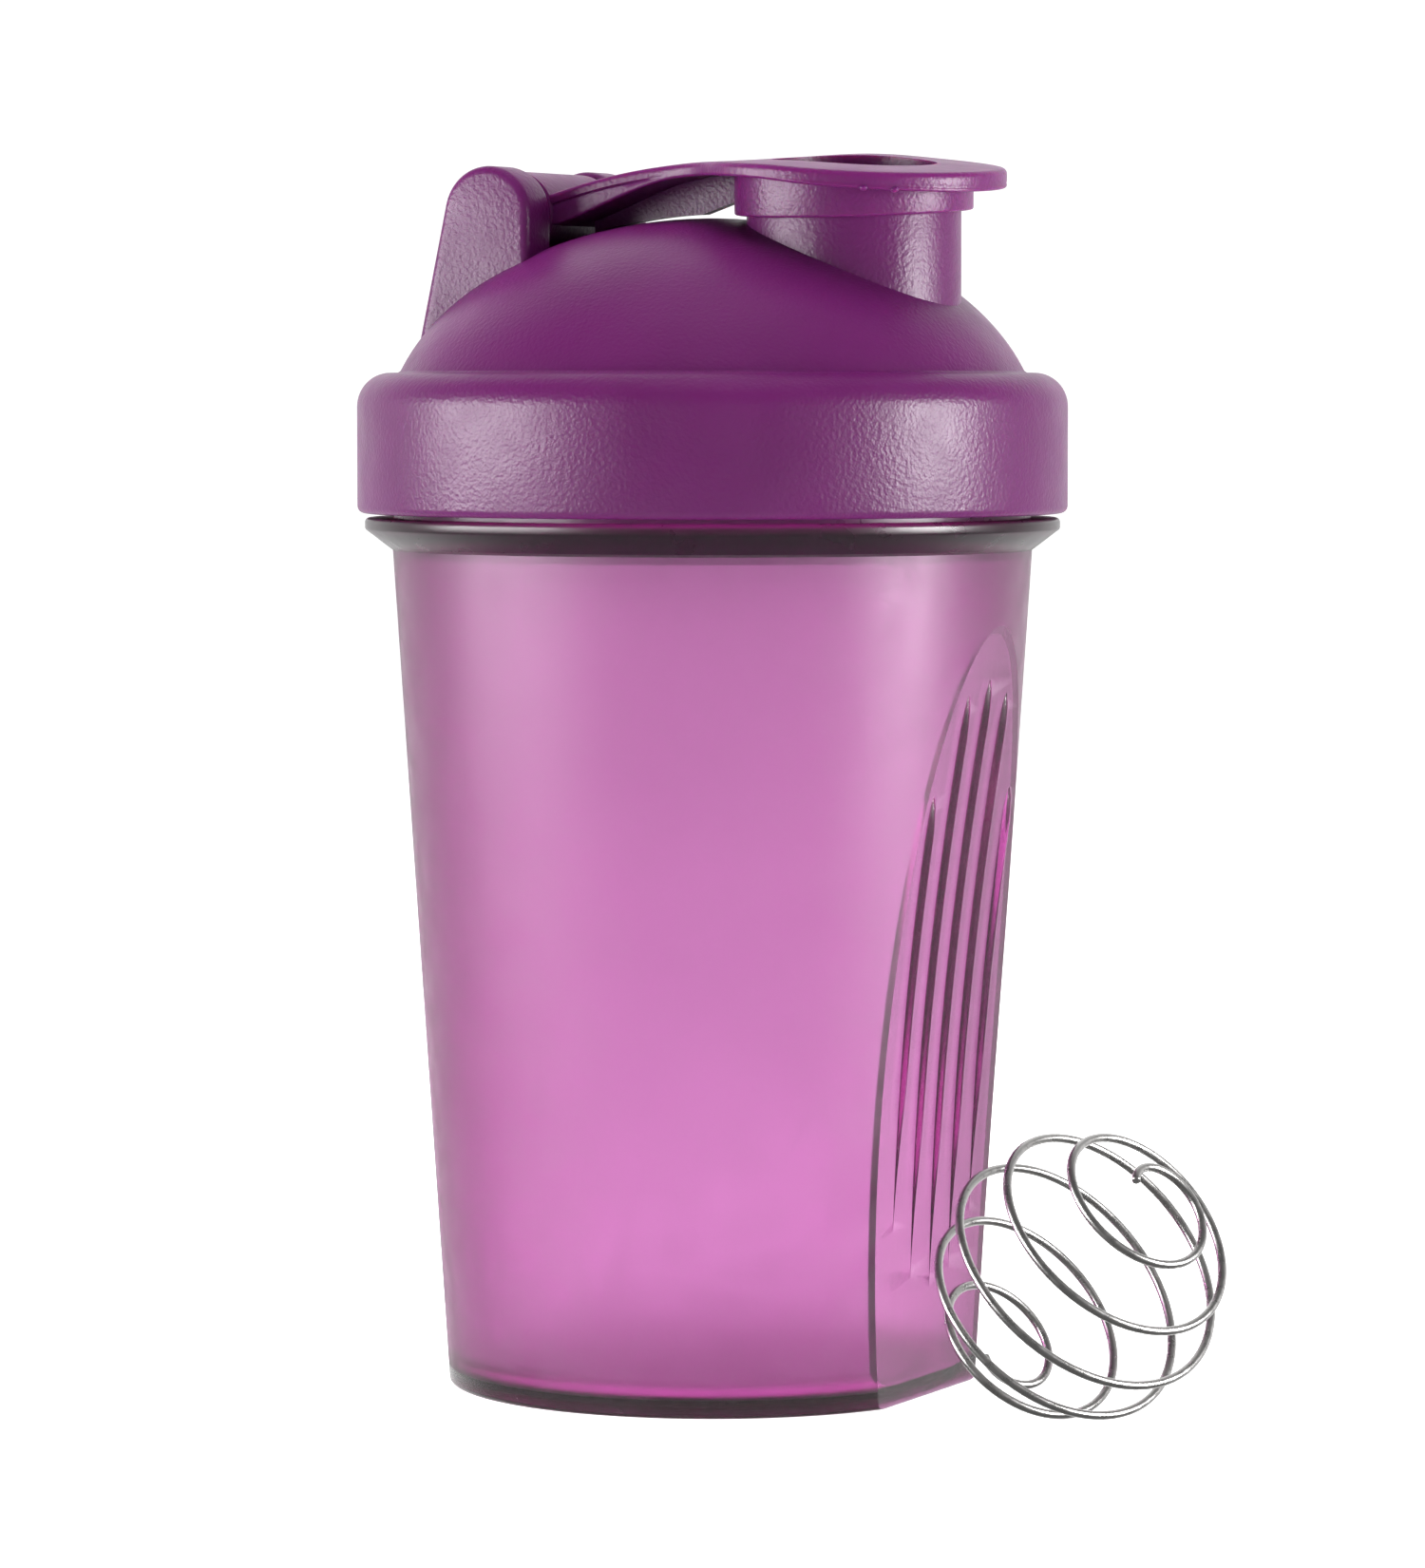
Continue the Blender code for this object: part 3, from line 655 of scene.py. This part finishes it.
def edge_profile(thickness):
    """(inset, depth) down the plate's side: round top, a crease and a round foot."""
    wedge = smooth_step((thickness - STRAP_T) / CREASE_FADE_T)
    crease = min(CREASE_Z, thickness - PLATE_FOOT_ROUND - CREASE_HALF - CREASE_GAP)
    points = []
    for i in range(6):
        angle = math.radians(90.0 * i / 5)
        inset = PLATE_TOP_ROUND * (1 - math.sin(angle))
        points.append((inset, PLATE_TOP_ROUND * (1 - math.cos(angle))))
    points += [(0.0, crease - CREASE_HALF), (CREASE_DEPTH * wedge, crease)]
    points += [(CREASE_DEPTH * wedge * CREASE_RETURN, crease + CREASE_HALF)]
    for i in range(4):
        angle = math.radians(90.0 * i / 3)
        inset = PLATE_FOOT_ROUND * (1 - math.cos(angle))
        points.append((inset, thickness - PLATE_FOOT_ROUND * (1 - math.sin(angle))))
    return points


def plate_section(point, normal):
    """One closed ring across the plate, through an outline point and its mirror image."""
    thickness = plate_thickness(point[0])
    side = []
    for inset, depth in edge_profile(thickness):
        x = point[0] - normal[0] * inset
        y = point[1] - normal[1] * inset
        top = plate_top(x, y) if depth < thickness / 2 else arch_z(x)
        side.append((x, y, top - depth))
    first, last = side[0], side[-1]
    columns = spread(first[1], -first[1], PLATE_COLUMNS)
    ring = [(first[0], y, plate_top(first[0], y)) for y in columns]
    ring += [(x, -y, z) for x, y, z in side[1:-1]]
    ring += [(last[0], y, last[2]) for y in spread(-last[1], last[1], PLATE_COLUMNS)]
    ring += side[-2:0:-1]
    return ring


def make_plate(name):
    half = half_outline()
    mirrored = half + [(half[-2][0], -half[-2][1])]
    rings = []
    for i, point in enumerate(half):
        before = mirrored[max(0, i - 1)]
        after = mirrored[i + 1]
        along = Vector((after[0] - before[0], after[1] - before[1])).normalized()
        rings.append(plate_section(point, (-along.y, along.x)))
    bm = bmesh.new()
    add_loft(bm, rings)
    bmesh.ops.remove_doubles(bm, verts=bm.verts, dist=SAME_POINT)
    return add_mesh(name, bm)


def cap_web(name):
    """The thin web under the strap, cut to clear the dome."""
    start, knee, end = WEB_X
    low = [(x, dome_z(abs(x)) + WEB_GAP) for x in spread(start, knee, WEB_STEPS)]
    low.append((end, low[-1][1] + WEB_RISE * (end - knee)))
    high = [(x, arch_z(x) - STRAP_T / 2) for x in spread(end, start, WEB_STEPS)]
    return prism(name, low + high, -WEB_HALF, WEB_HALF)


def plug_trim(name):
    """Everything above the middle of the plate's thickness."""
    low_x, high_x = PLUG_TRIM_X
    outline = [(x, arch_z(x) - STRAP_T / 2) for x in spread(low_x, high_x, PLUG_TRIM_STEPS)]
    outline += [(high_x, ABOVE_CAP), (low_x, ABOVE_CAP)]
    return prism(name, outline, -PLUG_TRIM_HALF, PLUG_TRIM_HALF)


def add_nubs(obj):
    """Two small moulding nubs on the disc's lower edge, one object with the cap."""
    bm = bmesh.new()
    bm.from_mesh(obj.data)
    for angle in NUB_ANGLES:
        turn = math.radians(angle)
        x = SPOUT_X + (DISC_R - NUB_INSET) * math.cos(turn)
        y = (DISC_R - NUB_INSET) * math.sin(turn)
        z = arch_z(x) - DISC_T + NUB_LIFT
        place = Matrix.Translation((x, y, z)) @ Matrix.Diagonal(NUB_SHAPE)
        bmesh.ops.create_icosphere(bm, subdivisions=2, radius=NUB_R, matrix=place)
    bm.to_mesh(obj.data)
    bm.free()


def make_cap():
    cap = make_plate("cap_shell")
    knuckle = [(KNUCKLE_R, KNUCKLE_HALF), (TRUNNION_R, TRUNNION_END_Y)]
    combine(cap, hinge_bar("knuckle", knuckle, KNUCKLE_EASE), "UNION")
    combine(cap, cap_web("web"), "UNION")
    above = ABOVE_CAP - CUT_OVER
    profile = [(0.0, above), (SKIRT_R, above)]
    profile += arc(SKIRT_R - SKIRT_ROUND, SKIRT_FOOT + SKIRT_ROUND, SKIRT_ROUND, 0, -90, 4)
    profile += [(SKIRT_BORE, SKIRT_FOOT), (SKIRT_BORE, GROOVE_TOP), (PLUG_R, GROOVE_TOP)]
    profile += [(PLUG_R, PLUG_FOOT + PLUG_CHAMFER), (PLUG_R - PLUG_CHAMFER, PLUG_FOOT), (0.0, PLUG_FOOT)]
    plug = turned("plug", profile, FINE_STEPS, SPOUT_X)
    combine(plug, plug_trim("trim"), "DIFFERENCE")
    combine(cap, plug, "UNION")
    recess = [(0.0, above), (PLUG_BORE, above), (PLUG_BORE, PLUG_FLOOR), (0.0, PLUG_FLOOR)]
    combine(cap, turned("recess", recess, FINE_STEPS, SPOUT_X, RECESS_TURN), "DIFFERENCE")
    add_nubs(cap)
    start, end = ROLL_X
    for vert in cap.data.vertices:
        vert.co.z += ROLL * vert.co.y * smooth_step((vert.co.x - start) / (end - start))
    smooth(cap, CAP_SHARP_ANGLE)
    return cap


# ---------------------------------------------------------------- ring and ball


def make_seal():
    inner, outer = SEAL_R
    low, high = SEAL_Z
    ease = SEAL_ROUND
    profile = arc(outer - ease, high - ease, ease, 90, 0, 5)
    profile += arc(outer - ease, low + ease, ease, 0, -90, 5)
    profile += arc(inner + ease, low + ease, ease, -90, -180, 5)
    profile += arc(inner + ease, high - ease, ease, 180, 90, 5)
    seal = turned("seal", profile, closed=True)
    smooth(seal, SEAL_SHARP_ANGLE)
    return seal


def ball_points():
    """The wire's centre line: a left-handed spiral on a sphere, from pole to pole."""
    axis = Vector(BALL_AXIS).normalized()
    side = Vector((0.0, 0.0, 1.0)).cross(axis).normalized()
    rise = axis.cross(side)
    count = int(BALL_TURNS * POINTS_A_TURN)
    first, last = BALL_POLES
    points = []
    for i in range(count + 1):
        share = i / count
        polar = first + (math.pi - first - last) * share
        angle = BALL_START - 2 * math.pi * BALL_TURNS * share
        ring = side * math.cos(angle) + rise * math.sin(angle)
        points.append((ring * math.sin(polar) + axis * math.cos(polar)) * (BALL_R - WIRE_R))
    lift = WIRE_R - min(point.z for point in points)
    return [point + Vector((BALL_X, BALL_Y, lift)) for point in points]


def make_ball():
    """A round wire swept along the spiral, with domed cut ends."""
    points = ball_points()
    rings = []
    up = None
    last = len(points) - 1
    for i, point in enumerate(points):
        along = (points[min(last, i + 1)] - points[max(0, i - 1)]).normalized()
        up = along.orthogonal() if up is None else up - along * up.dot(along)
        up.normalize()
        across = along.cross(up)
        circle = []
        for k in range(WIRE_SIDES):
            turn = 2 * math.pi * k / WIRE_SIDES
            circle.append(up * math.cos(turn) + across * math.sin(turn))
        out = along * WIRE_R * WIRE_END_OUT
        if i == 0:
            rings.append([point + ray * WIRE_R * WIRE_END_R - out for ray in circle])
        rings.append([point + ray * WIRE_R for ray in circle])
        if i == last:
            rings.append([point + ray * WIRE_R * WIRE_END_R + out for ray in circle])
    bm = bmesh.new()
    add_loft(bm, rings)
    ball = add_mesh("whisk_wire", bm)
    smooth(ball, WIRE_SHARP_ANGLE)
    return ball


# ---------------------------------------------------------------- materials


def new_material(name):
    material = bpy.data.materials.new(name)
    material.use_nodes = True
    return material, material.node_tree.nodes["Principled BSDF"]


def add_noise(material, scale, detail=2.0, roughness=0.5):
    """Noise in object space, in metres."""
    nodes, links = material.node_tree.nodes, material.node_tree.links
    place = nodes.new("ShaderNodeTexCoord")
    noise = nodes.new("ShaderNodeTexNoise")
    noise.inputs["Scale"].default_value = scale
    noise.inputs["Detail"].default_value = detail
    noise.inputs["Roughness"].default_value = roughness
    links.new(place.outputs["Object"], noise.inputs["Vector"])
    return noise.outputs["Fac"]


def map_to(material, value, target, low, high):
    """Sends noise around its middle to a shader socket as low to high."""
    node = material.node_tree.nodes.new("ShaderNodeMapRange")
    node.inputs["From Min"].default_value = NOISE_RANGE[0]
    node.inputs["From Max"].default_value = NOISE_RANGE[1]
    node.inputs["To Min"].default_value = low
    node.inputs["To Max"].default_value = high
    material.node_tree.links.new(value, node.inputs["Value"])
    material.node_tree.links.new(node.outputs["Result"], target)


def tint(material, value, target, colour, change):
    """Varies a colour's lightness a little either side of its own."""
    nodes, links = material.node_tree.nodes, material.node_tree.links
    ramp = nodes.new("ShaderNodeValToRGB")
    dark, light = ramp.color_ramp.elements
    dark.position, light.position = NOISE_RANGE
    dark.color = (*(part * (1 - change) for part in colour), 1.0)
    light.color = (*(min(1.0, part * (1 + change)) for part in colour), 1.0)
    links.new(value, ramp.inputs["Fac"])
    links.new(ramp.outputs["Color"], target)


def add_bump(material, shader, heights, strength):
    """Bumps in a chain; heights is a list of (value, height in metres)."""
    nodes, links = material.node_tree.nodes, material.node_tree.links
    before = None
    for value, height in heights:
        bump = nodes.new("ShaderNodeBump")
        bump.inputs["Strength"].default_value = strength
        bump.inputs["Distance"].default_value = height
        links.new(value, bump.inputs["Height"])
        if before:
            links.new(before, bump.inputs["Normal"])
        before = bump.outputs["Normal"]
    links.new(before, shader.inputs["Normal"])


def lid_plastic(name, colour, glow, depth):
    """Satin moulded plastic with a fine orange-peel grain; glow lets light through thin parts."""
    material, shader = new_material(name)
    tint(material, add_noise(material, scale=35.0), shader.inputs["Base Color"], colour, change=0.10)
    marks = add_noise(material, scale=160.0, detail=3.0)
    map_to(material, marks, shader.inputs["Roughness"], low=0.34, high=0.42)
    shader.inputs["IOR"].default_value = 1.49
    shader.inputs["Specular IOR Level"].default_value = 0.38
    shader.inputs["Subsurface Weight"].default_value = glow
    shader.inputs["Subsurface Radius"].default_value = (1.0, 0.12, 0.45)
    shader.inputs["Subsurface Scale"].default_value = depth
    grain = add_noise(material, scale=1800.0, detail=1.0)
    waves = add_noise(material, scale=300.0)
    add_bump(material, shader, [(grain, 0.085 * MM), (waves, 0.012 * MM)], strength=0.9)
    return material


def cup_plastic():
    """Tinted see-through plastic that darkens with the thickness looked through."""
    material, shader = new_material("cup_frosted")
    nodes, links = material.node_tree.nodes, material.node_tree.links
    tint_with_painted_light_of_face = nodes.new("ShaderNodeAttribute")
    tint_with_painted_light_of_face.attribute_name = "tint_with_painted_light"
    roughness_of_face = nodes.new("ShaderNodeAttribute")
    roughness_of_face.attribute_name = "finish_roughness"
    shade = nodes.new("ShaderNodeMix")
    shade.data_type = "RGBA"
    shade.blend_type = "MULTIPLY"
    shade.inputs["Factor"].default_value = 1.0
    face_colour, cloud_colour = [socket for socket in shade.inputs if socket.type == "RGBA"]
    mixed_colour = next(socket for socket in shade.outputs if socket.type == "RGBA")
    # The face tint carries painted shade on the neck and painted light on the foot.
    links.new(tint_with_painted_light_of_face.outputs["Color"], face_colour)
    tint(material, add_noise(material, scale=30.0), cloud_colour, CLOUD_WHITE, change=0.03)
    links.new(mixed_colour, shader.inputs["Base Color"])
    cloud = nodes.new("ShaderNodeMath")
    cloud.operation = "MULTIPLY"
    links.new(roughness_of_face.outputs["Fac"], cloud.inputs[0])
    patches = add_noise(material, scale=220.0, detail=3.0)
    map_to(material, patches, cloud.inputs[1], low=0.85, high=1.15)
    links.new(cloud.outputs["Value"], shader.inputs["Roughness"])
    shader.inputs["IOR"].default_value = 1.45
    shader.inputs["Specular IOR Level"].default_value = 0.22
    shader.inputs["Transmission Weight"].default_value = 0.98
    add_bump(material, shader, [(add_noise(material, scale=1400.0), 0.03 * MM)], strength=0.25)
    volume = nodes.new("ShaderNodeVolumeAbsorption")
    volume.inputs["Color"].default_value = (*CUP_ABSORB, 1.0)
    volume.inputs["Density"].default_value = CUP_DENSITY
    links.new(volume.outputs["Volume"], nodes["Material Output"].inputs["Volume"])
    return material


def silicone():
    material, shader = new_material("seal_silicone")
    clouds = add_noise(material, scale=120.0)
    tint(material, clouds, shader.inputs["Base Color"], SEAL_WHITE, change=0.05)
    marks = add_noise(material, scale=900.0)
    map_to(material, marks, shader.inputs["Roughness"], low=0.48, high=0.62)
    shader.inputs["Subsurface Weight"].default_value = 0.15
    shader.inputs["Subsurface Scale"].default_value = 1 * MM
    add_bump(material, shader, [(add_noise(material, scale=2500.0), 0.02 * MM)], strength=0.3)
    return material


def steel():
    """Drawn wire: bright, with fine marks and faint duller patches."""
    material, shader = new_material("wire_steel")
    clouds = add_noise(material, scale=90.0)
    tint(material, clouds, shader.inputs["Base Color"], STEEL, change=0.08)
    marks = add_noise(material, scale=700.0, detail=4.0)
    map_to(material, marks, shader.inputs["Roughness"], low=0.24, high=0.36)
    shader.inputs["Metallic"].default_value = 1.0
    scratches = add_noise(material, scale=5000.0, detail=3.0)
    add_bump(material, shader, [(scratches, 0.01 * MM)], strength=0.25)
    return material


def assign(obj, material):
    obj.data.materials.clear()
    obj.data.materials.append(material)


# ---------------------------------------------------------------- stage


def camera_direction():
    """Level direction from the bottle to the camera."""
    return Vector((math.sin(CAMERA_AZIMUTH), -math.cos(CAMERA_AZIMUTH), 0.0))


def make_camera():
    data = bpy.data.cameras.new("camera")
    data.lens = CAMERA_LENS
    data.clip_start = CAMERA_CLIP
    camera = bpy.data.objects.new("camera", data)
    bpy.context.scene.collection.objects.link(camera)
    camera.location = camera_direction() * CAMERA_DISTANCE + Vector((0.0, 0.0, CAMERA_Z))
    gaze = Vector((0.0, 0.0, CAMERA_AIM_Z)) - camera.location
    camera.rotation_euler = gaze.to_track_quat("-Z", "Y").to_euler()
    bpy.context.scene.camera = camera


def add_softbox(name, side_angle, distance, height, size, power):
    """A wide soft light, side_angle degrees round from the camera's side."""
    data = bpy.data.lights.new(name, "AREA")
    data.shape = "RECTANGLE"
    data.size, data.size_y = size
    data.energy = power
    light = bpy.data.objects.new(name, data)
    bpy.context.scene.collection.objects.link(light)
    turn = Matrix.Rotation(math.radians(side_angle), 3, "Z")
    light.location = turn @ camera_direction() * distance + Vector((0.0, 0.0, height))
    gaze = Vector((0.0, 0.0, height)) - light.location
    light.rotation_euler = gaze.to_track_quat("-Z", "Y").to_euler()


def add_top_light():
    """A broad light straight above, which isn't mirrored in the plastic."""
    data = bpy.data.lights.new("top_box", "AREA")
    data.size = TOP_LIGHT_SIZE
    data.energy = TOP_LIGHT_POWER
    light = bpy.data.objects.new("top_box", data)
    bpy.context.scene.collection.objects.link(light)
    light.location.z = TOP_LIGHT_Z
    light.visible_glossy = False


def make_world():
    """A white backdrop behind the bottle and a dimmer room in front of it."""
    world = bpy.data.worlds.new("studio")
    bpy.context.scene.world = world
    world.use_nodes = True
    nodes, links = world.node_tree.nodes, world.node_tree.links
    place = nodes.new("ShaderNodeTexCoord")
    dot = nodes.new("ShaderNodeVectorMath")
    dot.operation = "DOT_PRODUCT"
    dot.inputs[1].default_value = -camera_direction()
    links.new(place.outputs["Generated"], dot.inputs[0])
    ramp = nodes.new("ShaderNodeMapRange")
    ramp.interpolation_type = "SMOOTHSTEP"
    ramp.inputs["From Min"].default_value = BACKDROP_EDGE[0]
    ramp.inputs["From Max"].default_value = BACKDROP_EDGE[1]
    ramp.inputs["To Min"].default_value = ROOM_LIGHT
    ramp.inputs["To Max"].default_value = BACKDROP_LIGHT
    links.new(dot.outputs["Value"], ramp.inputs["Value"])
    path = nodes.new("ShaderNodeLightPath")
    mix = nodes.new("ShaderNodeMix")
    mix.inputs["B"].default_value = BACKDROP_SEEN
    links.new(path.outputs["Is Camera Ray"], mix.inputs["Factor"])
    links.new(ramp.outputs["Result"], mix.inputs["A"])
    links.new(mix.outputs["Result"], nodes["Background"].inputs["Strength"])
    nodes["Background"].inputs["Color"].default_value = (1.0, 1.0, 1.0, 1.0)


def make_floor():
    bm = bmesh.new()
    bmesh.ops.create_grid(bm, x_segments=1, y_segments=1, size=FLOOR_HALF)
    floor = add_mesh("floor", bm)
    material, shader = new_material("floor_white")
    clouds = add_noise(material, scale=3.0)
    tint(material, clouds, shader.inputs["Base Color"], FLOOR_WHITE, change=0.01)
    shader.inputs["Roughness"].default_value = 0.9
    shader.inputs["Specular IOR Level"].default_value = 0.1
    shader.inputs["Emission Color"].default_value = (1.0, 1.0, 1.0, 1.0)
    shader.inputs["Emission Strength"].default_value = FLOOR_GLOW
    assign(floor, material)
    floor.visible_glossy = False


def main():
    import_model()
    pieces = (
        (make_cup(), "cup_body", "cup", "cup"),
        (make_lid(), "lid_body", "lid", "lid"),
        (make_cap(), "cap_body", "flip_cap", "lid"),
        (make_seal(), "seal_body", "seal_ring", "seal"),
        (make_ball(), "ball_body", "whisk_ball", "wire"),
    )
    cup, lid, cap, seal, ball = (row[0] for row in pieces)
    assign(cup, cup_plastic())
    finish_cup_with_painted_light(cup)
    assign(lid, lid_plastic("lid_satin", LID_PURPLE, glow=0.2, depth=2 * MM))
    assign(cap, lid_plastic("cap_satin", CAP_PURPLE, glow=0.5, depth=4 * MM))
    assign(seal, silicone())
    assign(ball, steel())
    for piece, body, node, slot in pieces:
        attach(piece, body)
        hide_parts(node)

    make_camera()
    make_world()
    make_floor()
    add_softbox("left_box", **LEFT_BOX)
    add_softbox("right_box", **RIGHT_BOX)
    add_top_light()
    bpy.context.scene.view_settings.view_transform = "Standard"


main()
